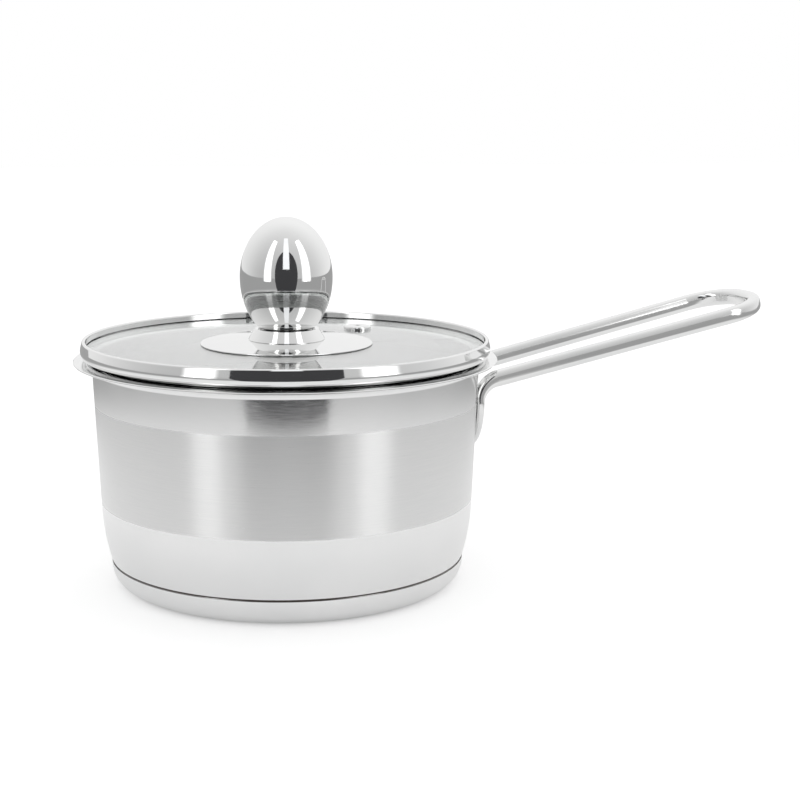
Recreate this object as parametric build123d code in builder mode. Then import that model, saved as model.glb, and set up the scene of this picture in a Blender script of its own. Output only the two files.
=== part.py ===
"""Small stainless saucepan with a long looped handle and a glass lid.

Frame: origin at the centre of the base's underside, +Z up, handle along +X, millimetres.
The pan, its base and the handle are one welded group.  The lid is a second group that
lifts straight up off the pan's mouth.
"""
import os
from math import asin, atan2, cos, pi, radians, sin, sqrt, tan

from build123d import *

os.makedirs("parts", exist_ok=True)

# ---- Pan shell and encapsulated base ----
PAN_HEIGHT = 94.2        # underside of the base to the top of the pouring lip
WALL_TOP_R = 79.7        # outer radius of the wall under the lip
WALL_TAPER = 2.5         # narrower by this where the wall starts to curve in
WALL_T = 0.8             # drawn sheet
CORNER_Z = 32.0          # height at which the lower curve starts
CORNER_ARC_R = 80.0      # large radius of that lower curve
LIP_W = 7.6              # flared lip, out from the wall's outer face
LIP_BEND_R = 3.2         # radius of the flare, under the lip
LIP_EDGE_ROUND = 0.3
CAP_EDGE_Z = 10.9        # top edge of the steel base cap
GROOVE_H = 0.5           # open line between cap and wall
GROOVE_SLOPE_H = 0.4     # chamfer from the groove out to the wall's face
CAP_T = 0.6
CAP_CORNER_R = 9.5
CORE_T = 4.0             # aluminium heat-spreading disc
FLOOR_CORNER_R = 6.0     # pan floor to wall, on the outer face

# ---- Handle: one closed loop of formed bar ----
HANDLE_LENGTH = 128.6    # wall to the far end, level, on the bar's middle line
HANDLE_RISE = 13.0       # degrees above horizontal
BAR_H = 7.0
BAR_W = 5.6
BAR_ROUND = 2.5
RAIL_GAP_PAN = 36.2      # between the two rails' middle lines, at the pan
RAIL_GAP_END = 45.8      # the same, at the far end
END_CORNER_R = 19.0
END_CROWN = 2.0          # how far the far end bows out at its middle
END_CROWN_R = 50.0
KNEE_DROP = 11.5         # pan's top down to where a rail's line meets its leg's line
KNEE_BEND_R = 10.0
KNEE_SECTIONS = 6
FOOT_T = 3.3             # bar flattened against the wall and hollowed to fit it
FOOT_W = 6.6
FOOT_ROUND = 1.5
FOOT_PROUD = 0.2         # foot's flat outer face, out from the wall's top
FOOT_DROP = 8.5          # knee down to the centre of the lower U
ROUND_SHARE = 0.45       # no edge round takes more of its bar than this

# ---- Lid glass and rolled rim ----
GLASS_OVERHANG = 3.85    # glass edge, out from the wall's outer face
GLASS_T = 3.2
GLASS_RISE = 0.3         # centre of the glass above its edge
GLASS_HOLE_R = 4.0
GLASS_EDGE_ROUND = 1.1
RING_T = 0.5             # rolled sheet of the rim
RING_GLASS_GAP = 0.05
RING_CREST = 3.1         # crest above the glass edge
RING_SHELF_STEP = 1.4    # glass seat above the shelf that rests on the pan's lip
RING_SEAT_W = 1.35       # width of the seat under the glass edge
RING_FLANGE_H = 7.0      # locating flange below the shelf
RING_FLANGE_GAP = 0.9    # loose fit in the pan's mouth
RING_LAP = 1.25          # how far the rim laps over the glass
RING_BEND_R = 1.0
RING_LAP_BEND_R = 0.5
RING_CREST_R = 0.6
RING_BELLY_GAP = 0.35    # belly of the rim, out from where it would touch the glass edge
RING_BELLY_DROP = 3.8    # crest down to the belly
RING_BELLY_R = 4.0
RING_SHOULDER_IN = 0.9   # rim leans in by this above the belly
RING_TUCK_IN = 0.6       # and by this below it
RING_TIGHT_R = 0.4

# ---- Steam vent ----
VENT_R = 53.0            # pan axis to the vent
VENT_ANGLE = 43.0        # degrees from the handle
VENT_HOLE_R = 1.6
VENT_MOUTH_ROUND = 0.4
VENT_TUBE_R = 2.9
VENT_FLANGE_R = 6.0
VENT_FLANGE_H = 1.6
VENT_FLANGE_ROUND = 1.0
VENT_WASHER_R = 5.0
VENT_WASHER_T = 0.8
VENT_CURL_R = 3.6        # tube end rolled over the washer
VENT_CURL_T = 0.6
VENT_FIT = 0.05
VENT_SEAT_GAP = 0.03     # flat washer and flange on the slightly domed glass

# ---- Knob ----
PLATE_R = 35.6           # shallow domed plate under the knob
PLATE_T = 0.6
PLATE_FLAT_MARGIN = 1.2  # flat middle of the plate, beyond the collar
PLATE_DROP = 1.2         # edge of the plate below its flat middle
GASKET_R = 14.0
GASKET_LIFT = 1.2        # silicone between glass and plate
GASKET_SLEEVE_R = 3.9    # sleeve that lines the glass hole
GASKET_SLEEVE_H = 3.0
COLLAR_FLARE = 2.6       # wider at the foot by this
COLLAR_LIP_W = 1.6
COLLAR_H = 4.7
COLLAR_CUP_GAP = 0.34    # cup's edge to the egg
COLLAR_CUP_DEPTH = 1.2
COLLAR_ROUND = 0.5
EGG_R = 19.1
EGG_TOP_H = 24.8         # widest ring to the top
EGG_LOW_H = 26.0         # semi-axis of the lower half
EGG_FOOT_DROP = 22.2     # widest ring down to the flat foot
EGG_T = 0.8
EGG_POINTS = 5           # points on each elliptical outline
EGG_SPIGOT_H = 3.0       # lower shell's lip inside the upper shell
EGG_SPIGOT_GAP = 0.05
INSERT_R = 5.0           # threaded insert inside the egg
INSERT_FLANGE_R = 7.0
INSERT_FLANGE_T = 1.2
INSERT_H = 16.0
SCREW_R = 2.5            # M5
SCREW_FIT = 0.05
SCREW_HOLE_GAP = 0.25    # clearance holes in plate, collar, seal and washers
SCREW_GRIP = 12.0        # thread inside the insert
SCREW_TIP_CHAMFER = 0.5
HEAD_R = 4.8
HEAD_H = 3.0
HEAD_ROUND = 1.4
CROSS_L = 5.0            # cross recess
CROSS_W = 1.1
CROSS_D = 1.8
SEAL_R = 9.0             # silicone seal under the glass
SEAL_T = 0.8
SEAL_SEAT_GAP = 0.01
WASHER_R = 8.0
WASHER_T = 1.0
SPRING_R = 4.5           # split spring washer
SPRING_T = 1.2
SPRING_SPLIT = 0.9

# ---- Heights and radii that follow from the above ----
wall_top_z = PAN_HEIGHT - WALL_T - LIP_BEND_R
wall_low_r = WALL_TOP_R - WALL_TAPER
lip_r = WALL_TOP_R + LIP_W
wall_tilt = atan2(WALL_TAPER, wall_top_z - CORNER_Z)
corner_centre_r = wall_low_r - CORNER_ARC_R * cos(wall_tilt)
corner_centre_z = CORNER_Z + CORNER_ARC_R * sin(wall_tilt)


def wall_radius(z):
    """Outer radius of the pan's wall, straight above CORNER_Z and curved below it."""
    if z >= CORNER_Z:
        return wall_low_r + (z - CORNER_Z) * tan(wall_tilt)
    return corner_centre_r + sqrt(CORNER_ARC_R ** 2 - (corner_centre_z - z) ** 2)


floor_z = CAP_T + CORE_T
groove_z = CAP_EDGE_Z + GROOVE_H
wall_foot_z = groove_z + GROOVE_SLOPE_H
cap_r = wall_radius(wall_foot_z)
neck_r = cap_r - CAP_T
core_r = cap_r - CAP_CORNER_R

knee_z = PAN_HEIGHT - KNEE_DROP
handle_reach = WALL_TOP_R + HANDLE_LENGTH
foot_x = WALL_TOP_R + FOOT_PROUD - FOOT_T / 2

glass_r = WALL_TOP_R + GLASS_OVERHANG
glass_seat_z = PAN_HEIGHT + RING_T + RING_SHELF_STEP
glass_edge_z = glass_seat_z + GLASS_T
glass_top_z = glass_edge_z + GLASS_RISE
glass_low_z = glass_top_z - GLASS_T
plate_foot_z = glass_top_z + GASKET_LIFT
collar_z = plate_foot_z + PLATE_T
egg_foot_z = collar_z + COLLAR_H - COLLAR_CUP_DEPTH
egg_mid_z = egg_foot_z + EGG_FOOT_DROP
cup_top_drop = EGG_FOOT_DROP - COLLAR_CUP_DEPTH
cup_r = EGG_R * sqrt(1 - (cup_top_drop / EGG_LOW_H) ** 2) + COLLAR_CUP_GAP
collar_top_r = cup_r + COLLAR_LIP_W
collar_low_r = collar_top_r + COLLAR_FLARE
plate_flat_r = collar_low_r + PLATE_FLAT_MARGIN
clear_hole_r = SCREW_R + SCREW_HOLE_GAP
vent_x = VENT_R * cos(radians(VENT_ANGLE))
vent_y = VENT_R * sin(radians(VENT_ANGLE))


def save(part, name):
    """Label a finished piece and write it under its own name."""
    part.label = name
    export_step(part, f"parts/{name}.step")


def flat_ring(inner_r, outer_r, low_z, height, x=0.0, y=0.0):
    """A plain flat ring, or a disc when inner_r is zero, standing on low_z."""
    with BuildPart() as piece:
        with BuildSketch(Plane(origin=(x, y, low_z))):
            Circle(outer_r)
            if inner_r > 0:
                Circle(inner_r, mode=Mode.SUBTRACT)
        extrude(amount=height)
    return piece.part


# ---- Pan body: the outer face's line, thickened inwards to one drawn sheet ----
with BuildPart() as pan_body:
    with BuildSketch(Plane.XZ):
        with BuildLine():
            FilletPolyline((0, floor_z), (neck_r, floor_z), (neck_r, groove_z), radius=FLOOR_CORNER_R)
            Line((neck_r, groove_z), (cap_r, wall_foot_z))
            curve_mid_z = (wall_foot_z + CORNER_Z) / 2
            ThreePointArc(
                (cap_r, wall_foot_z), (wall_radius(curve_mid_z), curve_mid_z), (wall_low_r, CORNER_Z)
            )
            Line((wall_low_r, CORNER_Z), (WALL_TOP_R, wall_top_z))
            JernArc((WALL_TOP_R, wall_top_z), (0, 1), LIP_BEND_R, -90)
            Line((WALL_TOP_R + LIP_BEND_R, PAN_HEIGHT - WALL_T), (lip_r, PAN_HEIGHT - WALL_T))
            offset(amount=WALL_T, side=Side.LEFT)
        make_face()
    revolve(axis=Axis.Z)
    lip_edges = pan_body.edges().filter_by(GeomType.CIRCLE).sort_by(SortBy.RADIUS)[-2:]
    fillet(lip_edges, LIP_EDGE_ROUND)
save(pan_body.part, "pan_body")

# ---- Base: aluminium disc under the pan's floor, and the steel cap that holds it ----
save(flat_ring(0, core_r, CAP_T, CORE_T), "base_core")

with BuildPart() as base_cap:
    with BuildSketch(Plane.XZ):
        with BuildLine():
            FilletPolyline((0, 0), (cap_r, 0), (cap_r, CAP_EDGE_Z), radius=CAP_CORNER_R)
            offset(amount=CAP_T, side=Side.LEFT)
        make_face()
    revolve(axis=Axis.Z)
save(base_cap.part, "base_cap")

# ---- Handle loop: far hairpin, two knees that turn down, and a U flattened on the wall ----
rise = radians(HANDLE_RISE)
spread = (RAIL_GAP_END - RAIL_GAP_PAN) / 2 / (handle_reach - foot_x)
knee_run = KNEE_BEND_R * tan((pi / 2 - rise) / 2)
knee_centre_x = knee_run * cos(rise) + KNEE_BEND_R * sin(rise)
knee_centre_z = knee_z + knee_run * sin(rise) - KNEE_BEND_R * cos(rise)
bar_round = min(BAR_ROUND, ROUND_SHARE * BAR_H, ROUND_SHARE * BAR_W)
foot_round = min(FOOT_ROUND, ROUND_SHARE * FOOT_T, ROUND_SHARE * FOOT_W)
rail_plane = Plane(
    origin=(foot_x, 0, knee_z), x_dir=(cos(rise), 0, sin(rise)), z_dir=(-sin(rise), 0, cos(rise))
)
rail_length = (handle_reach - foot_x) / cos(rise)


def rail_offset(run):
    """Half the distance between the rails' middle lines, run millimetres from the knees."""
    return RAIL_GAP_PAN / 2 + spread * run * cos(rise)


with BuildPart() as handle_loop:
    with BuildLine(rail_plane) as hairpin:
        FilletPolyline(
            (knee_run, -rail_offset(knee_run)),
            (rail_length - END_CROWN, -rail_offset(rail_length - END_CROWN)),
            (rail_length, 0),
            (rail_length - END_CROWN, rail_offset(rail_length - END_CROWN)),
            (knee_run, rail_offset(knee_run)),
            radius=[END_CORNER_R, END_CROWN_R, END_CORNER_R],
        )
    start_plane = Plane(origin=hairpin.line @ 0, x_dir=rail_plane.z_dir, z_dir=hairpin.line % 0)
    with BuildSketch(start_plane):
        RectangleRounded(BAR_H, BAR_W, bar_round)
    sweep(path=hairpin.line)

    for side in (-1, 1):
        for step in range(KNEE_SECTIONS):
            share = step / (KNEE_SECTIONS - 1)
            lean = rise + (pi / 2 - rise) * share
            out = knee_centre_x - KNEE_BEND_R * sin(lean)
            spot = Vector(
                foot_x + out,
                side * (RAIL_GAP_PAN / 2 + spread * out),
                knee_centre_z + KNEE_BEND_R * cos(lean),
            )
            along = Vector(cos(lean), side * spread * cos(lean), sin(lean)).normalized()
            across = Vector(-sin(lean), 0, cos(lean))
            with BuildSketch(Plane(origin=spot, x_dir=across, z_dir=along)):
                RectangleRounded(
                    BAR_H + (FOOT_T - BAR_H) * share,
                    BAR_W + (FOOT_W - BAR_W) * share,
                    bar_round + (foot_round - bar_round) * share,
                )
        loft()

    knee_low_z = knee_z - knee_run
    u_centre_z = knee_z - FOOT_DROP
    with BuildLine(Plane(origin=(foot_x, 0, 0), x_dir=(0, 1, 0), z_dir=(1, 0, 0))) as lower_u:
        half = RAIL_GAP_PAN / 2
        Line((-half, knee_low_z), (-half, u_centre_z))
        ThreePointArc((-half, u_centre_z), (0, u_centre_z - half), (half, u_centre_z))
        Line((half, u_centre_z), (half, knee_low_z))
    with BuildSketch(Plane(origin=lower_u.line @ 0, x_dir=(-1, 0, 0), z_dir=(0, 0, -1))):
        RectangleRounded(FOOT_T, FOOT_W, foot_round)
    sweep(path=lower_u.line)

    with BuildSketch(Plane.XZ, mode=Mode.PRIVATE) as wall_space:
        Polygon(
            (0, CORNER_Z),
            (wall_low_r, CORNER_Z),
            (WALL_TOP_R, wall_top_z),
            (0, wall_top_z),
            align=None,
        )
    revolve(wall_space.sketch, axis=Axis.Z, mode=Mode.SUBTRACT)
save(handle_loop.part, "handle_loop")

# ---- Lid rim: one rolled sheet, from the lap on the glass, over the crest, round the glass
# edge, down to the shelf that rests on the lip and on into the pan's mouth ----
belly_r = glass_r + RING_GLASS_GAP + RING_BELLY_GAP + RING_T / 2
lap_r = glass_r - RING_LAP
seat_r = glass_r - RING_SEAT_W
crest_z = glass_edge_z + RING_CREST - RING_T / 2
seat_line_z = glass_seat_z - RING_T / 2
shelf_line_z = PAN_HEIGHT + RING_T / 2
flange_r = WALL_TOP_R - WALL_T - RING_FLANGE_GAP - RING_T / 2
with BuildPart() as lid_ring:
    with BuildSketch(Plane.XZ):
        with BuildLine():
            FilletPolyline(
                (lap_r, glass_edge_z + RING_TIGHT_R),
                (lap_r, crest_z),
                (belly_r - RING_SHOULDER_IN, crest_z),
                (belly_r, crest_z - RING_BELLY_DROP),
                (belly_r - RING_TUCK_IN, seat_line_z),
                (seat_r, seat_line_z),
                (seat_r - RING_SHELF_STEP, shelf_line_z),
                (flange_r, shelf_line_z),
                (flange_r, shelf_line_z - RING_FLANGE_H),
                radius=[
                    RING_LAP_BEND_R, RING_CREST_R, RING_BELLY_R, RING_BEND_R, RING_TIGHT_R, RING_TIGHT_R,
                    RING_BEND_R,
                ],
            )
        trace(line_width=RING_T)
    revolve(axis=Axis.Z)
save(lid_ring.part, "lid_ring")

def glass_top_at(r):
    """Height of the glass's upper face at a radius from the pan's axis."""
    return glass_top_z - GLASS_RISE * (r / glass_r) ** 2


# ---- Lid glass: nearly flat toughened disc, drilled for the knob's screw and the vent ----
with BuildPart() as lid_glass:
    with BuildSketch(Plane.XZ) as glass_face:
        with BuildLine():
            half_r = glass_r / 2
            half_z = glass_top_at(half_r)
            Polyline((0, glass_low_z), (0, glass_top_z))
            ThreePointArc((0, glass_top_z), (half_r, half_z), (glass_r, glass_edge_z))
            Line((glass_r, glass_edge_z), (glass_r, glass_seat_z))
            ThreePointArc((glass_r, glass_seat_z), (half_r, half_z - GLASS_T), (0, glass_low_z))
        make_face()
        fillet(glass_face.vertices().group_by(Axis.X)[-1], GLASS_EDGE_ROUND)
    revolve(axis=Axis.Z)
    with Locations((0, 0, glass_top_z)):
        Hole(GLASS_HOLE_R)
    with Locations((vent_x, vent_y, glass_top_z)):
        Hole(VENT_TUBE_R + VENT_FIT)
save(lid_glass.part, "lid_glass")


# ---- Steam vent: flanged eyelet through the glass, closed over a washer underneath ----
vent_top_z = glass_top_at(VENT_R) + VENT_SEAT_GAP
vent_low_z = glass_top_at(VENT_R) - GLASS_T - VENT_SEAT_GAP
vent_washer_z = vent_low_z - VENT_WASHER_T
with BuildPart() as vent_eyelet:
    with BuildSketch(Plane(origin=(vent_x, vent_y, vent_top_z))):
        Circle(VENT_FLANGE_R)
    extrude(amount=VENT_FLANGE_H)
    fillet(vent_eyelet.edges().group_by(Axis.Z)[-1], VENT_FLANGE_ROUND)
    with BuildSketch(Plane(origin=(vent_x, vent_y, vent_top_z))):
        Circle(VENT_TUBE_R)
    extrude(amount=vent_washer_z - vent_top_z)
    with BuildSketch(Plane(origin=(vent_x, vent_y, vent_washer_z))):
        Circle(VENT_CURL_R)
    extrude(amount=-VENT_CURL_T)
    with Locations((vent_x, vent_y, vent_top_z)):
        Hole(VENT_HOLE_R)
    fillet(vent_eyelet.edges().group_by(Axis.Z)[-1], VENT_MOUTH_ROUND)
save(vent_eyelet.part, "vent_eyelet")
save(
    flat_ring(VENT_TUBE_R + VENT_FIT, VENT_WASHER_R, vent_washer_z, VENT_WASHER_T, vent_x, vent_y),
    "vent_washer",
)

# ---- Knob base: silicone gasket with a sleeve, and the domed plate ----
with BuildPart() as plate_gasket:
    with BuildSketch(Plane.XY.offset(glass_top_z)):
        Circle(GASKET_R)
        Circle(clear_hole_r, mode=Mode.SUBTRACT)
    extrude(amount=GASKET_LIFT)
    with BuildSketch(Plane.XY.offset(glass_top_z)):
        Circle(GASKET_SLEEVE_R)
        Circle(clear_hole_r, mode=Mode.SUBTRACT)
    extrude(amount=-GASKET_SLEEVE_H)
save(plate_gasket.part, "plate_gasket")

with BuildPart() as knob_plate:
    with BuildSketch(Plane.XZ):
        with BuildLine():
            FilletPolyline(
                (clear_hole_r, plate_foot_z),
                (plate_flat_r, plate_foot_z),
                (PLATE_R, plate_foot_z - PLATE_DROP),
                radius=PLATE_R,
            )
            offset(amount=PLATE_T, side=Side.LEFT)
        make_face()
    revolve(axis=Axis.Z)
save(knob_plate.part, "knob_plate")

# ---- Collar: cone with a shallow cup on top that the egg sits in ----
with BuildPart() as knob_collar:
    with BuildSketch(Plane.XY.offset(collar_z)):
        Circle(collar_low_r)
    with BuildSketch(Plane.XY.offset(collar_z + COLLAR_H)):
        Circle(collar_top_r)
    loft()
    fillet(knob_collar.edges().group_by(Axis.Z)[-1], COLLAR_ROUND)
    with BuildSketch(Plane.XY.offset(collar_z + COLLAR_H)):
        Circle(cup_r)
    extrude(amount=-COLLAR_CUP_DEPTH, mode=Mode.SUBTRACT)
    with Locations((0, 0, collar_z)):
        Hole(clear_hole_r)
save(knob_collar.part, "knob_collar")

# ---- Egg: two drawn shells, the lower one with a spigot inside the upper one ----
def egg_points(radius, height, end_turn):
    """Points on a quarter or less of an upright ellipse, from its widest ring towards a pole."""
    turns = [end_turn * step / (EGG_POINTS - 1) for step in range(EGG_POINTS)]
    return [(radius * cos(turn), egg_mid_z + height * sin(turn)) for turn in turns]


def egg_tangent(radius, height, turn, sense):
    """Direction of the ellipse's outline at a turn, towards the top when sense is 1."""
    return (-sense * radius * sin(turn), sense * height * cos(turn))


with BuildPart() as knob_upper_shell:
    with BuildSketch(Plane.XZ):
        with BuildLine():
            for inset in (0, EGG_T):
                Spline(*egg_points(EGG_R - inset, EGG_TOP_H - inset, pi / 2), tangents=[(0, 1), (-1, 0)])
            Line((EGG_R - EGG_T, egg_mid_z), (EGG_R, egg_mid_z))
            Line((0, egg_mid_z + EGG_TOP_H - EGG_T), (0, egg_mid_z + EGG_TOP_H))
        make_face()
    revolve(axis=Axis.Z)
save(knob_upper_shell.part, "knob_upper_shell")

upper_inside_r = (EGG_R - EGG_T) * sqrt(1 - (EGG_SPIGOT_H / (EGG_TOP_H - EGG_T)) ** 2)
spigot_r = upper_inside_r - EGG_SPIGOT_GAP
spigot_top_z = egg_mid_z + EGG_SPIGOT_H
egg_floor_z = egg_foot_z + EGG_T
foot_turn = -asin(EGG_FOOT_DROP / EGG_LOW_H)
floor_turn = -asin((EGG_FOOT_DROP - EGG_T) / (EGG_LOW_H - EGG_T))
with BuildPart() as knob_lower_shell:
    with BuildSketch(Plane.XZ):
        with BuildLine():
            outside = Spline(
                *egg_points(EGG_R, EGG_LOW_H, foot_turn),
                tangents=[(0, -1), egg_tangent(EGG_R, EGG_LOW_H, foot_turn, -1)],
            )
            inside = Spline(
                *egg_points(spigot_r - EGG_T, EGG_LOW_H - EGG_T, floor_turn),
                tangents=[(0, -1), egg_tangent(spigot_r - EGG_T, EGG_LOW_H - EGG_T, floor_turn, -1)],
            )
            Polyline(
                outside @ 0,
                (spigot_r, egg_mid_z),
                (spigot_r, spigot_top_z),
                (spigot_r - EGG_T, spigot_top_z),
                inside @ 0,
            )
            Polyline(inside @ 1, (clear_hole_r, egg_floor_z), (clear_hole_r, egg_foot_z), outside @ 1)
        make_face()
    revolve(axis=Axis.Z)
save(knob_lower_shell.part, "knob_lower_shell")

# ---- Inside the egg and under the glass: insert, seal, washers and screw ----
with BuildPart() as knob_insert:
    with BuildSketch(Plane.XY.offset(egg_floor_z)):
        Circle(INSERT_FLANGE_R)
    extrude(amount=INSERT_FLANGE_T)
    with BuildSketch(Plane.XY.offset(egg_floor_z)):
        RegularPolygon(INSERT_R, 6, major_radius=False)
    extrude(amount=INSERT_H)
    with Locations((0, 0, egg_floor_z + INSERT_H)):
        Hole(SCREW_R + SCREW_FIT)
save(knob_insert.part, "knob_insert")

seal_z = glass_low_z - SEAL_T - SEAL_SEAT_GAP
washer_z = seal_z - WASHER_T
spring_z = washer_z - SPRING_T
save(flat_ring(clear_hole_r, SEAL_R, seal_z, SEAL_T), "glass_seal")
save(flat_ring(clear_hole_r, WASHER_R, washer_z, WASHER_T), "flat_washer")

with BuildPart() as spring_washer:
    with BuildSketch(Plane.XY.offset(spring_z)):
        Circle(SPRING_R)
        Circle(clear_hole_r, mode=Mode.SUBTRACT)
        with Locations((SPRING_R, 0)):
            Rectangle(SPRING_R * 2, SPRING_SPLIT, mode=Mode.SUBTRACT)
    extrude(amount=SPRING_T)
save(spring_washer.part, "spring_washer")

with BuildPart() as knob_screw:
    with BuildSketch(Plane.XY.offset(spring_z)):
        Circle(HEAD_R)
    extrude(amount=-HEAD_H)
    fillet(knob_screw.edges().group_by(Axis.Z)[0], HEAD_ROUND)
    with BuildSketch(Plane.XY.offset(spring_z - HEAD_H)):
        Rectangle(CROSS_L, CROSS_W)
        Rectangle(CROSS_W, CROSS_L)
    extrude(amount=CROSS_D, mode=Mode.SUBTRACT)
    with BuildSketch(Plane.XY.offset(spring_z)):
        Circle(SCREW_R)
    extrude(amount=egg_floor_z - spring_z + SCREW_GRIP)
    chamfer(knob_screw.edges().group_by(Axis.Z)[-1], SCREW_TIP_CHAMFER)
save(knob_screw.part, "knob_screw")
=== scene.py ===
import math

import bmesh
import bpy
from mathutils import Matrix, Vector


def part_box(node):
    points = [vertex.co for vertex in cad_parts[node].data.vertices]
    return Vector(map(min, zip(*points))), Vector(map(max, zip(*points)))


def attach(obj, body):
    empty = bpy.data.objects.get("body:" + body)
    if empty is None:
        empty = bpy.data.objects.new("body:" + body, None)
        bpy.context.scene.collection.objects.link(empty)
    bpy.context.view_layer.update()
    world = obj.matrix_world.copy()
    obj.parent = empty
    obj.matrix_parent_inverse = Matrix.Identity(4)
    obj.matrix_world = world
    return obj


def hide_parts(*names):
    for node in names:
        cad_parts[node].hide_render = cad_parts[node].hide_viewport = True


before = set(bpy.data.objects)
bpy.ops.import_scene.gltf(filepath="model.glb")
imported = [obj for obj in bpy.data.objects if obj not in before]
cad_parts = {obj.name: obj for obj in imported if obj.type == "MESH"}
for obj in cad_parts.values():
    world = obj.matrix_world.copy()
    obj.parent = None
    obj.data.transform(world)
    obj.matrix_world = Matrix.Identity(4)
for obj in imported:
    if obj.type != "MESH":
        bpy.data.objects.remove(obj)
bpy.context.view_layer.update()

scene = bpy.context.scene
MM = 0.001
SEGMENTS = 256           # round every turned piece
ARC_STEP = math.radians(7.0)
SHARP_ANGLE = math.radians(32.0)
LIP_CLEAR = 0.01 * MM     # keeps the finely divided lip inside the CAD model's box
TIP_CLEAR = 0.03 * MM     # and the handle's far end

# ---- Sizes that several pieces share ----
PAN_SHEET = 0.8 * MM
LIP_WIDE = 7.6 * MM       # flared lip, out from the wall's outer face
LIP_BEND = 3.2 * MM
WALL_TAPER = 2.5 * MM     # narrower by this where the wall starts to curve in
CORNER_Z = 32.0 * MM      # height of that start
CORNER_CURVE = 80.0 * MM
SCREW_HOLE_R = 2.75 * MM  # clearance hole through plate, collar and egg
PLATE_CURVE = 35.6 * MM

# ---- Camera: the photograph's viewpoint, in front of the pan and a little to the left ----
CAMERA_AHEAD = 0.6747     # distance from the pan's axis, level
CAMERA_HEIGHT = 0.2006    # above the base's underside
CAMERA_SWING = math.radians(-11.0)    # round the pan's axis, towards -X
CAMERA_PAN = math.radians(15.0)       # the lens points right of the pan's axis
CAMERA_DOWN = math.radians(10.5)
CAMERA_ROLL = math.radians(0.27)
LENS = 73.8
SENSOR = 36.0


def make_camera():
    """The one camera, aimed by its pan, dip and roll."""
    data = bpy.data.cameras.new("camera")
    data.lens, data.sensor_width = LENS, SENSOR
    data.clip_start, data.clip_end = 0.01, 50.0
    camera = bpy.data.objects.new("camera", data)
    scene.collection.objects.link(camera)
    ahead = Vector((math.sin(CAMERA_PAN) * math.cos(CAMERA_DOWN),
                    math.cos(CAMERA_PAN) * math.cos(CAMERA_DOWN), -math.sin(CAMERA_DOWN)))
    right = Vector((math.cos(CAMERA_PAN), -math.sin(CAMERA_PAN), 0.0))
    up = right.cross(ahead)
    tilted_right = right * math.cos(CAMERA_ROLL) + up * math.sin(CAMERA_ROLL)
    tilted_up = tilted_right.cross(ahead)
    turn = Matrix((tilted_right, tilted_up, -ahead)).transposed()
    place = Vector((math.sin(CAMERA_SWING) * CAMERA_AHEAD, -math.cos(CAMERA_SWING) * CAMERA_AHEAD,
                    CAMERA_HEIGHT))
    camera.matrix_world = Matrix.Translation(place) @ turn.to_4x4()
    scene.camera = camera


# ---- Materials ----
class Nodes:
    """A short way to build one node tree."""

    def __init__(self, tree):
        self.tree = tree
        tree.nodes.clear()

    def add(self, kind, inputs=None, **settings):
        node = self.tree.nodes.new(kind)
        for name, value in settings.items():
            setattr(node, name, value)
        for name, value in (inputs or {}).items():
            if isinstance(value, bpy.types.NodeSocket):
                self.tree.links.new(value, node.inputs[name])
            else:
                node.inputs[name].default_value = value
        return node

    def math(self, operation, *values):
        return self.add("ShaderNodeMath", dict(enumerate(values)), operation=operation).outputs[0]

    def noise(self, vector, scale, detail=3.0, roughness=0.5):
        inputs = {"Vector": vector, "Scale": scale, "Detail": detail, "Roughness": roughness}
        return self.add("ShaderNodeTexNoise", inputs).outputs["Fac"]

    def span(self, value, low, high, to_low=0.0, to_high=1.0, smooth=False):
        inputs = {"Value": value, "From Min": low, "From Max": high, "To Min": to_low, "To Max": to_high}
        kind = "SMOOTHSTEP" if smooth else "LINEAR"
        return self.add("ShaderNodeMapRange", inputs, interpolation_type=kind).outputs["Result"]

    def tint(self, value, dark, light):
        """A colour between dark and light; sockets 6, 7 and 2 are the mix node's colour ones."""
        inputs = {"Factor": value, 6: (*dark, 1.0), 7: (*light, 1.0)}
        return self.add("ShaderNodeMix", inputs, data_type="RGBA").outputs[2]

    def bump(self, height, distance, strength=1.0):
        inputs = {"Height": height, "Distance": distance, "Strength": strength}
        return self.add("ShaderNodeBump", inputs).outputs["Normal"]


def new_material(name):
    """An empty node material and its builder."""
    material = bpy.data.materials.new(name)
    material.use_nodes = True
    return material, Nodes(material.node_tree)


def place_of(nodes):
    """Object coordinates, in metres in the row frame."""
    return nodes.add("ShaderNodeTexCoord").outputs["Object"]


def principled(nodes, inputs):
    return nodes.add("ShaderNodeBsdfPrincipled", inputs).outputs["BSDF"]


def finish_material(nodes, shader):
    nodes.add("ShaderNodeOutputMaterial", {"Surface": shader})


def buffed_steel(nodes, dark, light, smooth, hazy):
    """Mirror-polished stainless: slow tone drift, faint buffing haze and hair-fine wipe marks."""
    place = place_of(nodes)
    drift = nodes.noise(place, 22.0, 2.0)
    haze = nodes.noise(place, 70.0, 5.0, 0.62)
    wipes = nodes.noise(nodes.add("ShaderNodeMapping", {"Vector": place, "Scale": (1.0, 1.0, 14.0)})
                        .outputs["Vector"], 210.0, 2.0)
    roughness = nodes.span(nodes.math("MULTIPLY", haze, wipes), 0.12, 0.42, smooth, hazy)
    return principled(nodes, {
        "Base Color": nodes.tint(nodes.span(drift, 0.3, 0.7), dark, light),
        "Metallic": 1.0,
        "Roughness": roughness,
        "Normal": nodes.bump(wipes, 0.0000008, 0.35),
    })


def make_polished(name, dark, light, smooth=0.025, hazy=0.075):
    material, nodes = new_material(name)
    finish_material(nodes, buffed_steel(nodes, dark, light, smooth, hazy))
    return material


BAND_LOW = 36.0 * MM      # satin band round the wall
BAND_HIGH = 76.5 * MM
BAND_EDGE = 0.25 * MM
GROOVE_LOW = 10.93 * MM   # painted shade down in the open line above the base cap
GROOVE_HIGH = 11.68 * MM
GROOVE_EDGE = 0.04 * MM


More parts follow.
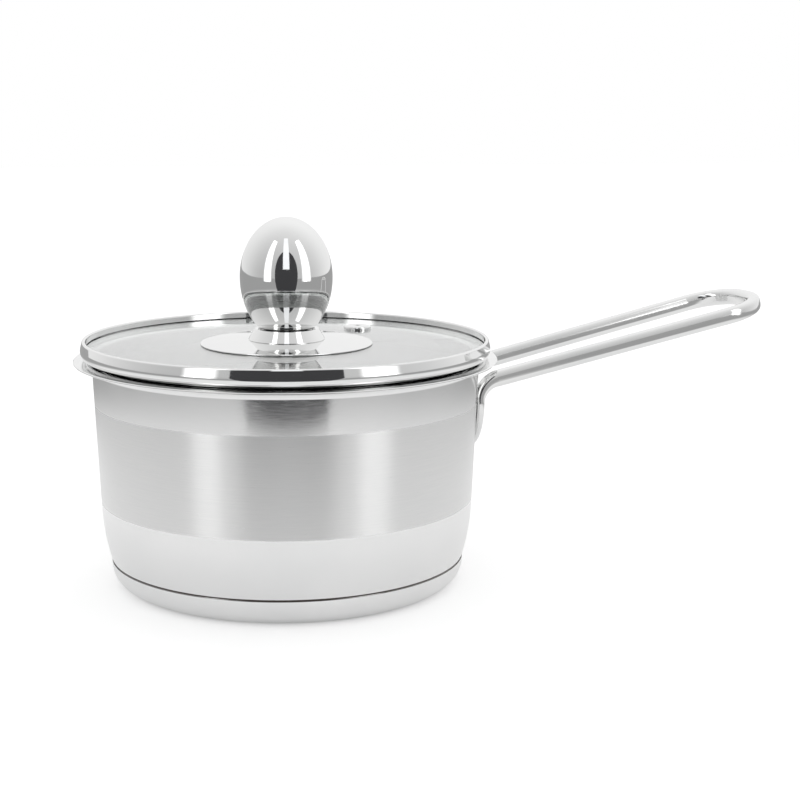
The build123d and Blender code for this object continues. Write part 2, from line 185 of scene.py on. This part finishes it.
def make_pan_steel(name):
    """Polished steel with a satin band, brushed round the pan, between two heights, and painted shade in
    the open line above the base cap.
    """
    material, nodes = new_material(name)
    place = place_of(nodes)
    z = nodes.add("ShaderNodeSeparateXYZ", {"Vector": place}).outputs["Z"]
    waver = nodes.span(nodes.noise(place, 160.0, 2.0), 0.0, 1.0, -0.2 * MM, 0.2 * MM)
    height = nodes.math("ADD", z, waver)
    above = nodes.span(height, BAND_LOW - BAND_EDGE, BAND_LOW + BAND_EDGE)
    below = nodes.span(height, BAND_HIGH + BAND_EDGE, BAND_HIGH - BAND_EDGE)
    band = nodes.math("MULTIPLY", above, below)
    drawn_out = nodes.add("ShaderNodeMapping", {"Vector": place, "Scale": (0.02, 0.02, 1.0)})
    round_lines = drawn_out.outputs["Vector"]
    coarse = nodes.noise(round_lines, 2600.0, 2.0, 0.7)
    fine = nodes.noise(round_lines, 9000.0, 2.0, 0.8)
    lines = nodes.math("ADD", nodes.math("MULTIPLY", coarse, 0.5), nodes.math("MULTIPLY", fine, 0.5))
    grey = nodes.tint(nodes.span(lines, 0.3, 0.7), (0.735, 0.738, 0.738), (0.79, 0.79, 0.785))
    satin = principled(nodes, {
        "Base Color": grey,
        "Metallic": 1.0,
        "Roughness": nodes.span(lines, 0.3, 0.7, 0.27, 0.33),
        "Anisotropic": 0.9,
        "Anisotropic Rotation": 0.25,
        "Tangent": nodes.add("ShaderNodeTangent", direction_type="RADIAL", axis="Z").outputs["Tangent"],
        "Normal": nodes.bump(lines, 0.000001, 0.5),
    })
    polished = buffed_steel(nodes, (0.80, 0.803, 0.803), (0.85, 0.85, 0.848), 0.12, 0.20)
    both = nodes.add("ShaderNodeMixShader", {0: band, 1: polished, 2: satin}).outputs["Shader"]
    # Painted shade: a near-black, brownish band laid over the open line above the base cap, where shade
    # falls in the groove
    groove_shade_mask = nodes.math("MULTIPLY", nodes.span(z, GROOVE_LOW, GROOVE_LOW + GROOVE_EDGE),
                      nodes.span(z, GROOVE_HIGH, GROOVE_HIGH - GROOVE_EDGE))
    shade_browns = nodes.tint(nodes.noise(place, 400.0), (0.030, 0.022, 0.018), (0.075, 0.055, 0.045))
    groove_painted_shade = principled(nodes, {"Base Color": shade_browns, "Roughness": 0.6})
    with_line = nodes.add("ShaderNodeMixShader", {0: groove_shade_mask, 1: both, 2: groove_painted_shade})
    finish_material(nodes, with_line.outputs["Shader"])
    return material


def make_glass(name):
    """Clear toughened glass, faintly green, with a trace of wiping haze."""
    material, nodes = new_material(name)
    place = place_of(nodes)
    film = nodes.noise(place, 45.0, 5.0, 0.6)
    finish_material(nodes, principled(nodes, {
        "Base Color": nodes.tint(nodes.span(film, 0.3, 0.7), (0.955, 0.985, 0.970), (0.985, 0.995, 0.990)),
        "Roughness": nodes.span(film, 0.45, 0.75, 0.0, 0.03),
        "IOR": 1.52,
        "Transmission Weight": 1.0,
        "Coat Weight": 0.6,
        "Normal": nodes.bump(nodes.noise(place, 14.0, 1.0), 0.00003, 0.2),
    }))
    return material


def make_silicone(name):
    """Black silicone rubber: matt, dusty grey in places, with a moulded grain."""
    material, nodes = new_material(name)
    place = place_of(nodes)
    dust = nodes.noise(place, 180.0, 5.0, 0.6)
    finish_material(nodes, principled(nodes, {
        "Base Color": nodes.tint(nodes.span(dust, 0.35, 0.75), (0.012, 0.012, 0.013), (0.05, 0.05, 0.052)),
        "Roughness": nodes.span(dust, 0.3, 0.7, 0.45, 0.7),
        "Normal": nodes.bump(nodes.noise(place, 2500.0, 2.0), 0.00002, 0.5),
    }))
    return material


def make_plain_metal(name, dark, light, low, high):
    """Turned or rolled metal that isn't polished: mottled tone and fine tool marks."""
    material, nodes = new_material(name)
    place = place_of(nodes)
    mottle = nodes.noise(place, 300.0, 4.0, 0.6)
    marks = nodes.noise(nodes.add("ShaderNodeMapping", {"Vector": place, "Scale": (1.0, 1.0, 0.05)})
                        .outputs["Vector"], 4000.0, 2.0)
    finish_material(nodes, principled(nodes, {
        "Base Color": nodes.tint(nodes.span(mottle, 0.3, 0.7), dark, light),
        "Metallic": 1.0,
        "Roughness": nodes.span(mottle, 0.3, 0.7, low, high),
        "Normal": nodes.bump(marks, 0.00001, 0.4),
    }))
    return material


# ---- Outlines, turned and swept pieces ----
def unit(vector):
    return vector / vector.length


def rounded(points, radii):
    """A line through the points with each inner corner rounded; points are (radius, height)."""
    corners = [Vector(point) for point in points]
    line = [corners[0]]
    for before, corner, after, radius in zip(corners, corners[1:], corners[2:], radii):
        back, on = unit(before - corner), unit(after - corner)
        turn = math.pi - back.angle(on)
        if turn < 1e-6 or radius <= 0:
            line.append(corner)
            continue
        reach = radius * math.tan(turn / 2)
        centre = corner + unit(back + on) * (radius / math.cos(turn / 2))
        start = corner + back * reach - centre
        end = corner + on * reach - centre
        steps = max(2, math.ceil(turn / ARC_STEP))
        for step in range(steps + 1):
            share = step / steps
            line.append(centre + (start * math.sin((1 - share) * turn) + end * math.sin(share * turn))
                        / math.sin(turn))
    line.append(corners[-1])
    return line


def sideways(line, amount):
    """The line moved to its left by an amount."""
    moved = []
    for index, point in enumerate(line):
        back = unit(point - line[index - 1]) if index else None
        on = unit(line[index + 1] - point) if index + 1 < len(line) else None
        along = unit((back or on) + (on or back))
        stretch = 1.0 if back is None or on is None else 1.0 / max(0.3, along.dot(on))
        moved.append(point + Vector((-along.y, along.x)) * amount * stretch)
    return moved


def lathe(name, outline, material, body, slot, *nodes):
    """Turns a closed outline of (radius, height) in metres round the pan's axis and swaps it in."""
    mesh = bpy.data.meshes.new(name)
    shape = bmesh.new()
    rings = []
    for radius, height in outline:
        if radius < 1e-7:
            rings.append([shape.verts.new((0.0, 0.0, height))] * SEGMENTS)
            continue
        angles = (2 * math.pi * step / SEGMENTS for step in range(SEGMENTS))
        rings.append([shape.verts.new((radius * math.cos(angle), radius * math.sin(angle), height))
                      for angle in angles])
    for low, high in zip(rings, rings[1:] + rings[:1]):
        for step in range(SEGMENTS):
            after = (step + 1) % SEGMENTS
            corners = list(dict.fromkeys((low[step], low[after], high[after], high[step])))
            if len(corners) > 2:
                shape.faces.new(corners)
    bmesh.ops.recalc_face_normals(shape, faces=shape.faces)
    return finish_piece(name, mesh, shape, material, body, slot, *nodes)


def finish_piece(name, mesh, shape, material, body, slot, *nodes):
    """Turns a bmesh into a smooth-shaded piece that rides on a body in place of CAD nodes."""
    shape.to_mesh(mesh)
    shape.free()
    for face in mesh.polygons:
        face.use_smooth = True
    mesh.set_sharp_from_angle(angle=SHARP_ANGLE)
    mesh.materials.append(material)
    piece = bpy.data.objects.new(name, mesh)
    scene.collection.objects.link(piece)
    weighted = piece.modifiers.new("even_normals", "WEIGHTED_NORMAL")
    weighted.keep_sharp = True
    weighted.weight = 100
    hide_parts(*nodes)
    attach(piece, body)
    return piece


def sheet_outline(line, thickness):
    """Closed outline of a sheet whose outer or lower face is the line, thickened to its left."""
    return list(line) + list(reversed(sideways(line, thickness)))


# ---- Pan body and base cap ----
def make_pan(material):
    """The drawn shell: floor, wall that curves in below, flared lip with a rounded edge."""
    low, high = map(Vector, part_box("pan_body"))
    lip_r, top_z, floor_z = high.x - LIP_CLEAR, high.z, low.z
    sheet, lip_round, floor_corner, neck_in = PAN_SHEET, 0.3 * MM, 6.0 * MM, 0.6 * MM
    wall_top_r = lip_r - LIP_WIDE
    wall_low_r = wall_top_r - WALL_TAPER
    wall_top_z = top_z - sheet - LIP_BEND
    groove_z, foot_z = 11.4 * MM, 11.8 * MM
    tilt = math.atan2(WALL_TAPER, wall_top_z - CORNER_Z)
    centre_r = wall_low_r - CORNER_CURVE * math.cos(tilt)
    centre_z = CORNER_Z + CORNER_CURVE * math.sin(tilt)
    foot_turn = math.asin((foot_z - centre_z) / CORNER_CURVE)
    foot_r = centre_r + CORNER_CURVE * math.cos(foot_turn)
    neck_r = foot_r - neck_in
    line = rounded([(0.0, floor_z), (neck_r, floor_z), (neck_r, groove_z)], [floor_corner])
    steps = 14
    for step in range(steps + 1):
        turn = foot_turn + (-tilt - foot_turn) * step / steps
        line.append(Vector((centre_r + CORNER_CURVE * math.cos(turn),
                            centre_z + CORNER_CURVE * math.sin(turn))))
    flare = [(wall_top_r, wall_top_z - LIP_BEND), (wall_top_r, top_z - sheet), (lip_r, top_z - sheet)]
    line += rounded(flare, [LIP_BEND])[1:]
    face = line[:-1] + [line[-1] - Vector((lip_round, 0.0))]
    inside = sideways(face, sheet)
    edge = [Vector((lip_r, top_z - sheet + lip_round)), Vector((lip_r, top_z - lip_round))]
    outline = face + edge + list(reversed(inside))
    return lathe("pan_shell", outline, material, "pan", "pan_steel", "pan_body")


def make_cap(material):
    """The steel cap pressed over the aluminium disc."""
    _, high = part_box("base_cap")
    sheet, corner = 0.6 * MM, 9.5 * MM
    line = rounded([(0.0, 0.0), (high[0], 0.0), (high[0], high[2])], [corner])
    return lathe("base_shell", sheet_outline(line, sheet), material, "pan", "pan_steel", "base_cap")


# ---- Lid: rolled rim, domed plate, collar and egg ----
def make_rim(material):
    """The rolled rim: lap on the glass, crest, shoulder, belly, tuck, seat, shelf and flange."""
    low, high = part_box("lid_ring")
    _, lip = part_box("pan_body")
    _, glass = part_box("lid_glass")
    half = 0.25 * MM          # of the rolled sheet
    glass_gap, flange_gap = 0.4 * MM, 0.9 * MM
    lap, seat, step = 1.25 * MM, 1.35 * MM, 1.4 * MM
    lap_drop, belly_drop, shoulder_in, tuck_in = 2.45 * MM, 3.8 * MM, 0.9 * MM, 0.6 * MM
    belly_r = glass[0] + glass_gap + half
    crest_z, shelf_z = high[2] - half, lip[2] + half
    seat_z = shelf_z + step
    lap_r, seat_r = glass[0] - lap, glass[0] - seat
    flange_r = lip[0] - LIP_WIDE - PAN_SHEET - flange_gap - half
    middle = rounded(
        [(lap_r, crest_z - lap_drop), (lap_r, crest_z), (belly_r - shoulder_in, crest_z),
         (belly_r, crest_z - belly_drop), (belly_r - tuck_in, seat_z), (seat_r, seat_z),
         (seat_r - step, shelf_z), (flange_r, shelf_z), (flange_r, low[2])],
        [0.5 * MM, 0.6 * MM, 4.0 * MM, 1.0 * MM, 0.4 * MM, 0.4 * MM, 1.0 * MM])
    outline = sideways(middle, half) + list(reversed(sideways(middle, -half)))
    return lathe("rim_roll", outline, material, "lid", "polished_steel", "lid_ring")


def make_plate(material):
    """Shallow domed plate, with its outer edge rolled to a fine bead."""
    low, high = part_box("knob_plate")
    sheet, hole_r, flat_r = 0.6 * MM, SCREW_HOLE_R, 17.0 * MM
    foot_z, edge_z, edge_r = high[2] - sheet, low[2], high[0] - 0.04 * MM
    upper = rounded([(hole_r, high[2]), (flat_r, high[2]), (edge_r, edge_z + sheet)], [PLATE_CURVE])
    lower = rounded([(hole_r, foot_z), (flat_r, foot_z), (edge_r, edge_z)], [PLATE_CURVE])
    nose = Vector((edge_r, edge_z + sheet / 2))
    bead = [nose + Vector((math.cos(turn), math.sin(turn))) * sheet / 2 * 0.98
            for turn in (math.radians(60 - 24 * step) for step in range(6))]
    trim = Vector((sheet / 2, 0.0))
    bead = [point - trim for point in bead]
    outline = upper[:-1] + [upper[-1] - trim] + bead + [lower[-1] - trim] + list(reversed(lower[:-1]))
    return lathe("knob_saucer", outline, material, "lid", "polished_steel", "knob_plate")


def make_collar(material):
    """Cone under the egg, with a shallow cup in its top."""
    low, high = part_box("knob_collar")
    flare, lip_wide, cup_deep, ease = 2.6 * MM, 1.6 * MM, 1.2 * MM, 0.2 * MM
    foot_r, top_r, hole_r = high[0], high[0] - flare, SCREW_HOLE_R
    cup_r, cup_z = top_r - lip_wide, high[2] - cup_deep
    outline = rounded(
        [(hole_r, low[2]), (foot_r - ease, low[2]), (foot_r, low[2] + ease), (top_r, high[2]),
         (cup_r, high[2]), (cup_r, cup_z), (hole_r, cup_z)],
        [0.0, 0.15 * MM, 0.5 * MM, 0.3 * MM, 0.4 * MM])
    return lathe("knob_cone", outline, material, "lid", "polished_steel", "knob_collar")


def oval(radius, height, middle_z, start, end, steps):
    """Points on an upright ellipse between two turns from its widest ring, upwards positive."""
    turns = (start + (end - start) * step / steps for step in range(steps + 1))
    return [Vector((radius * math.cos(turn), middle_z + height * math.sin(turn))) for turn in turns]


def make_egg(material):
    """The egg's upper and lower shells, joined at the widest ring by a spigot."""
    low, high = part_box("knob_upper_shell")
    foot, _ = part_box("knob_lower_shell")
    radius, middle_z, top_h, low_h = high[0], low[2], high[2] - low[2], 26.0 * MM
    sheet, spigot_h, spigot_gap, hole_r = 0.8 * MM, 3.0 * MM, 0.05 * MM, SCREW_HOLE_R
    outside = oval(radius, top_h, middle_z, 0.0, math.pi / 2, 40)
    inside = oval(radius - sheet, top_h - sheet, middle_z, math.pi / 2, 0.0, 40)
    outside[-1].x = inside[0].x = 0.0
    lathe("egg_top", outside + inside, material, "lid", "polished_steel", "knob_upper_shell")

    drop = middle_z - foot[2]
    spigot_r = (radius - sheet) * math.sqrt(1 - (spigot_h / (top_h - sheet)) ** 2) - spigot_gap
    foot_turn = -math.asin(drop / low_h)
    floor_turn = -math.asin((drop - sheet) / (low_h - sheet))
    outside = oval(radius, low_h, middle_z, 0.0, foot_turn, 32)
    inside = oval(spigot_r - sheet, low_h - sheet, middle_z, floor_turn, 0.0, 32)
    throat = [(hole_r, foot[2]), (hole_r, foot[2] + sheet)]
    lip = [(spigot_r - sheet, middle_z + spigot_h), (spigot_r, middle_z + spigot_h), (spigot_r, middle_z)]
    outline = outside + [Vector(p) for p in throat] + inside + [Vector(p) for p in lip]
    lathe("egg_foot", outline, material, "lid", "polished_steel", "knob_lower_shell")


# ---- Handle: one bar, swept round a closed loop ----
RISE = math.radians(13.0)
BAR = (7.0 * MM, 5.6 * MM, 2.5 * MM)       # height, width, edge round
FOOT = (3.3 * MM, 6.6 * MM, 1.4 * MM)      # the same where it is flattened on the wall
GAP_PAN = 36.2 * MM       # between the rails' middle lines at the pan
GAP_END = 45.8 * MM       # and at the far end
KNEE_BEND = 10.0 * MM
KNEE_BELOW_TOP = 11.5 * MM
FOOT_DROP = 8.5 * MM
FOOT_SINK = 0.35 * MM     # how far the foot's back may sit into the wall's face
FOOT_PROUD = 0.2 * MM     # foot's flat outer face, out from the wall's top
END_CORNER = 19.0 * MM
END_CROWN = 2.0 * MM      # how far the far end bows out at its middle
END_CROWN_BEND = 50.0 * MM


def bar_section(size, share_points=5):
    """Points of a rounded rectangle, as (up, side), going round once."""
    tall, wide, bend = size
    points = []
    for quarter in range(4):
        sign_up = 1 if quarter in (0, 3) else -1
        sign_side = 1 if quarter in (0, 1) else -1
        centre = Vector((sign_up * (tall / 2 - bend), sign_side * (wide / 2 - bend)))
        for step in range(share_points + 1):
            turn = math.pi / 2 * (quarter + step / share_points)
            points.append(centre + Vector((math.cos(turn), math.sin(turn))) * bend)
    return points


def handle_stations():
    """Middle line of half the loop, from the lower U's lowest point to the far end's middle.

    Each station is (spot, along, up, share), where share is 1 on the wall and 0 on the rails.
    """
    _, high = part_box("handle_loop")
    _, pan_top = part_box("pan_body")
    foot_x = pan_top[0] - LIP_WIDE + FOOT_PROUD - FOOT[0] / 2
    reach = high[0] - BAR[1] / 2 - TIP_CLEAR
    knee_z = pan_top[2] - KNEE_BELOW_TOP
    half = GAP_PAN / 2
    spread = (GAP_END - GAP_PAN) / 2 / (reach - foot_x)
    u_centre_z = knee_z - FOOT_DROP
    knee_run = KNEE_BEND * math.tan((math.pi / 2 - RISE) / 2)
    stations = []
    out = Vector((-1.0, 0.0, 0.0))
    for step in range(25):
        turn = math.pi / 2 * step / 24
        spot = Vector((foot_x, half * math.sin(turn), u_centre_z - half * math.cos(turn)))
        stations.append((spot, Vector((0.0, math.cos(turn), math.sin(turn))), out, 1.0))
    leg_middle = Vector((foot_x, half, (u_centre_z + knee_z - knee_run) / 2))
    stations.append((leg_middle, Vector((0.0, 0.0, 1.0)), out, 1.0))
    centre_x = knee_run * math.cos(RISE) + KNEE_BEND * math.sin(RISE)
    centre_z = knee_z + knee_run * math.sin(RISE) - KNEE_BEND * math.cos(RISE)
    for step in range(17):
        share = 1.0 - step / 16
        lean = RISE + (math.pi / 2 - RISE) * share
        run = centre_x - KNEE_BEND * math.sin(lean)
        spot = Vector((foot_x + run, half + spread * run, centre_z + KNEE_BEND * math.cos(lean)))
        along = unit(Vector((math.cos(lean), spread * math.cos(lean), math.sin(lean))))
        stations.append((spot, along, Vector((-math.sin(lean), 0.0, math.cos(lean))), share))
    up = Vector((-math.sin(RISE), 0.0, math.cos(RISE)))
    length = (reach - foot_x) / math.cos(RISE)

    def offset(run):
        return half + spread * run * math.cos(RISE)

    start = (knee_run, offset(knee_run))
    corner = (length - END_CROWN, offset(length - END_CROWN))
    mirrored = (corner[0], -corner[1])
    flat = rounded([start, corner, (length, 0.0), mirrored], [END_CORNER, END_CROWN_BEND])
    rail = [Vector(start) + (flat[1] - Vector(start)) * step / 12 for step in range(1, 12)]
    flat = [flat[0]] + rail + flat[1:]
    for index in range(1, len(flat) - 1):
        point = flat[index]
        if point.y < 0.0:
            break
        along = unit(unit(point - flat[index - 1]) + unit(flat[index + 1] - point))
        from_knee = Vector((point.x * math.cos(RISE), point.y, point.x * math.sin(RISE)))
        spot = Vector((foot_x, 0.0, knee_z)) + from_knee
        heading = unit(Vector((along.x * math.cos(RISE), along.y, along.x * math.sin(RISE))))
        stations.append((spot, heading, up, 0.0))
    return stations


def make_handle(material):
    """Sweeps the bar round the loop and hollows the foot's back to the wall's face."""
    half_loop = handle_stations()
    other = []
    flip = Vector((1.0, -1.0, 1.0))
    on_middle = 0.05 * MM     # a station this close to the middle plane isn't mirrored
    for spot, along, up, share in reversed(half_loop):
        if abs(spot.y) > on_middle:
            other.append((spot * flip, Vector((-along.x, along.y, -along.z)), up, share))
    shape = bmesh.new()
    rings = []
    wall_clear = wall_face()
    for spot, along, up, share in half_loop + other:
        side = unit(along.cross(up))
        lift = unit(side.cross(along))
        size = [bar + (foot - bar) * share for bar, foot in zip(BAR, FOOT)]
        ring = []
        for high, wide in bar_section(size):
            place = spot + lift * high + side * wide
            radius = math.hypot(place.x, place.y)
            least = wall_clear(place.z) - FOOT_SINK
            if radius < least:
                place.x *= least / radius
                place.y *= least / radius
            ring.append(shape.verts.new(place))
        rings.append(ring)
    for ring, after in zip(rings, rings[1:] + rings[:1]):
        for step in range(len(ring)):
            on = (step + 1) % len(ring)
            shape.faces.new((ring[step], ring[on], after[on], after[step]))
    bmesh.ops.recalc_face_normals(shape, faces=shape.faces)
    mesh = bpy.data.meshes.new("handle_bar")
    return finish_piece("handle_bar", mesh, shape, material, "pan", "polished_steel", "handle_loop")


def wall_face():
    """A function that gives the wall's outer radius at a height, on its straight stretch."""
    _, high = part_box("pan_body")
    top_r = high[0] - LIP_WIDE
    top_z = high[2] - PAN_SHEET - LIP_BEND
    slope = WALL_TAPER / (top_z - CORNER_Z)
    return lambda z: top_r - (top_z - z) * slope


# ---- Studio: pale floor, white tent, two soft boxes and the dark opening that faces the pan ----
FLOOR_SIZE = 8.0
TENT_FRONT = 0.335        # from the pan's axis to the opening in the tent
OPENING_HALF = 0.175
OPENING_MIDDLE = 0.17     # height of the opening's widest part
OPENING_TALL = 0.25       # from there up to its top
STRIP_HALF = 0.045
BOX_DISTANCE = 1.6
FLOOR_LIT = 0.28          # in reflections the floor has its full tone as far out as this
FLOOR_DIM = 0.50          # and its dimmest from here on
FLOOR_FAR = 0.42          # share of its tone that it keeps there


def emitter(name, strength, tone):
    """A plain glowing card's material, a little uneven as lit cloth is."""
    material, nodes = new_material(name)
    cloth = nodes.span(nodes.noise(place_of(nodes), 4.0, 2.0), 0.0, 1.0, 0.92 * strength, 1.08 * strength)
    glow = nodes.add("ShaderNodeEmission", {"Color": (*tone, 1.0), "Strength": cloth}).outputs["Emission"]
    finish_material(nodes, glow)
    return material


def soft_emitter(name, middle, edge):
    """A soft box: brightest down its middle and fading to the tent's tone at its two sides."""
    material, nodes = new_material(name)
    across = nodes.add("ShaderNodeSeparateXYZ", {
        "Vector": nodes.add("ShaderNodeTexCoord").outputs["Generated"]}).outputs["X"]
    off_middle = nodes.math("ABSOLUTE", nodes.math("SUBTRACT", across, 0.5))
    strength = nodes.span(off_middle, 0.5, 0.24, edge, middle, smooth=True)
    glow = nodes.add("ShaderNodeEmission", {"Color": (1.0, 1.0, 1.0, 1.0), "Strength": strength})
    finish_material(nodes, glow.outputs["Emission"])
    return material


def card(name, corners, material):
    """A studio card seen only in reflections; corners go round it once."""
    mesh = bpy.data.meshes.new(name)
    mesh.from_pydata([tuple(corner) for corner in corners], [], [tuple(range(len(corners)))])
    mesh.materials.append(material)
    sheet = bpy.data.objects.new(name, mesh)
    scene.collection.objects.link(sheet)
    sheet.visible_camera = False
    sheet.visible_diffuse = False
    sheet.visible_shadow = False
    sheet.visible_transmission = False
    return sheet


def facing(azimuth, distance, across, height):
    """A point on an upright card that faces the pan; azimuth 0 is towards the camera."""
    turn = CAMERA_SWING + azimuth
    away = Vector((math.sin(turn), -math.cos(turn), 0.0))
    side = Vector((math.cos(turn), math.sin(turn), 0.0))
    return away * distance + side * across + Vector((0.0, 0.0, height))


def make_cards():
    dark = emitter("studio_dark", 0.06, (0.95, 0.95, 1.0))
    white = emitter("studio_white", 1.25, (0.97, 0.98, 1.0))
    soft = soft_emitter("studio_soft", 2.3, 0.72)
    arch = [facing(0.0, TENT_FRONT, OPENING_HALF * math.cos(turn),
                   max(0.001, OPENING_MIDDLE + OPENING_TALL * math.sin(turn)))
            for turn in (2 * math.pi * step / 48 for step in range(48))]
    card("tent_opening", arch, dark)
    near = TENT_FRONT - 0.01
    card("strip_light", [facing(0.0, near, across, height) for across, height in
                         ((-STRIP_HALF, 0.20), (STRIP_HALF, 0.20), (STRIP_HALF * 1.4, 0.9),
                          (-STRIP_HALF * 1.4, 0.9))], white)
    for name, azimuth, wide in (("soft_box_left", -0.82, 0.30), ("soft_box_right", 0.89, 0.36)):
        card(name, [facing(azimuth, BOX_DISTANCE, across, height) for across, height in
                    ((-wide, 0.0), (wide, 0.0), (wide, 2.6), (-wide, 2.6))], soft)


def make_floor():
    """A plain pale floor. In reflections only, it is dimmer away from the pan."""
    bpy.ops.mesh.primitive_grid_add(x_subdivisions=8, y_subdivisions=8, size=FLOOR_SIZE)
    floor = bpy.context.object
    floor.name = "floor"
    material, nodes = new_material("floor_paper")
    place = place_of(nodes)
    paper = nodes.noise(place, 3.0, 2.0)
    reach = nodes.add("ShaderNodeVectorMath", {0: place}, operation="LENGTH").outputs["Value"]
    rays = nodes.add("ShaderNodeLightPath")
    lit = nodes.span(reach, FLOOR_LIT, FLOOR_DIM, 1.0, FLOOR_FAR, smooth=True)
    tone = nodes.math("MAXIMUM", lit, nodes.math("SUBTRACT", 1.0, rays.outputs["Is Glossy Ray"]))
    pale = nodes.tint(paper, (0.80, 0.80, 0.80), (0.83, 0.83, 0.83))
    shade = nodes.add("ShaderNodeVectorMath", {0: pale, "Scale": tone}, operation="SCALE").outputs["Vector"]
    base = nodes.add("ShaderNodeBsdfDiffuse", {"Color": shade})
    own = nodes.span(rays.outputs["Is Camera Ray"], 0.0, 1.0, 0.14, 0.32)
    glow = nodes.add("ShaderNodeEmission", {"Strength": nodes.math("MULTIPLY", own, tone)})
    both = nodes.add("ShaderNodeAddShader", {0: base.outputs["BSDF"], 1: glow.outputs["Emission"]})
    finish_material(nodes, both.outputs["Shader"])
    floor.data.materials.append(material)


def make_world():
    """White for the camera and for soft light; a shaded tent in reflections."""
    world = bpy.data.worlds.new("tent")
    scene.world = world
    world.use_nodes = True
    nodes = Nodes(world.node_tree)
    ray = nodes.add("ShaderNodeLightPath")
    way = nodes.add("ShaderNodeTexCoord").outputs["Generated"]
    turned = nodes.add("ShaderNodeVectorRotate", {"Vector": way, "Angle": -CAMERA_SWING},
                       rotation_type="Z_AXIS")
    split = nodes.add("ShaderNodeSeparateXYZ", {"Vector": turned.outputs["Vector"]})
    behind = nodes.span(split.outputs["Y"], -0.7, 0.9, 0.60, 0.95, smooth=True)
    higher = nodes.span(split.outputs["Z"], 0.1, 0.95, 0.0, 0.18)
    sideways_tone = nodes.span(split.outputs["X"], -1.0, 1.0, -0.05, 0.05)
    tent = nodes.math("ADD", nodes.math("ADD", behind, higher), sideways_tone)
    glossy = ray.outputs["Is Glossy Ray"]
    strength = nodes.math("ADD", nodes.math("MULTIPLY", glossy, nodes.math("SUBTRACT", tent, 1.0)), 1.0)
    sky = nodes.add("ShaderNodeBackground", {"Color": (1.0, 1.0, 1.0, 1.0), "Strength": strength})
    nodes.add("ShaderNodeOutputWorld", {"Surface": sky.outputs["Background"]})


def cover(node, material):
    """Gives a carried-over CAD node one material."""
    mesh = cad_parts[node].data
    mesh.materials.clear()
    mesh.materials.append(material)


# ---- The build ----
make_camera()
mirror = make_polished("mirror_steel", (0.78, 0.785, 0.785), (0.83, 0.83, 0.825))
bar_steel = make_polished("bar_steel", (0.76, 0.765, 0.765), (0.82, 0.82, 0.815), 0.05, 0.13)
pan_steel = make_pan_steel("pan_steel")
make_pan(pan_steel)
make_cap(pan_steel)
make_rim(mirror)
make_plate(mirror)
make_collar(mirror)
make_egg(mirror)
make_handle(bar_steel)

glass = make_glass("clear_glass")
silicone = make_silicone("black_silicone")
zinc = make_plain_metal("zinc_steel", (0.50, 0.50, 0.48), (0.66, 0.66, 0.63), 0.28, 0.45)
aluminium = make_plain_metal("rolled_aluminium", (0.66, 0.67, 0.68), (0.76, 0.77, 0.78), 0.32, 0.5)
cover("lid_glass", glass)
cover("base_core", aluminium)
for node in ("vent_eyelet", "vent_washer"):
    cover(node, mirror)
for node in ("plate_gasket", "glass_seal"):
    cover(node, silicone)
for node in ("knob_insert", "flat_washer", "spring_washer", "knob_screw"):
    cover(node, zinc)

make_floor()
make_cards()
make_world()
scene.view_settings.view_transform = "Standard"
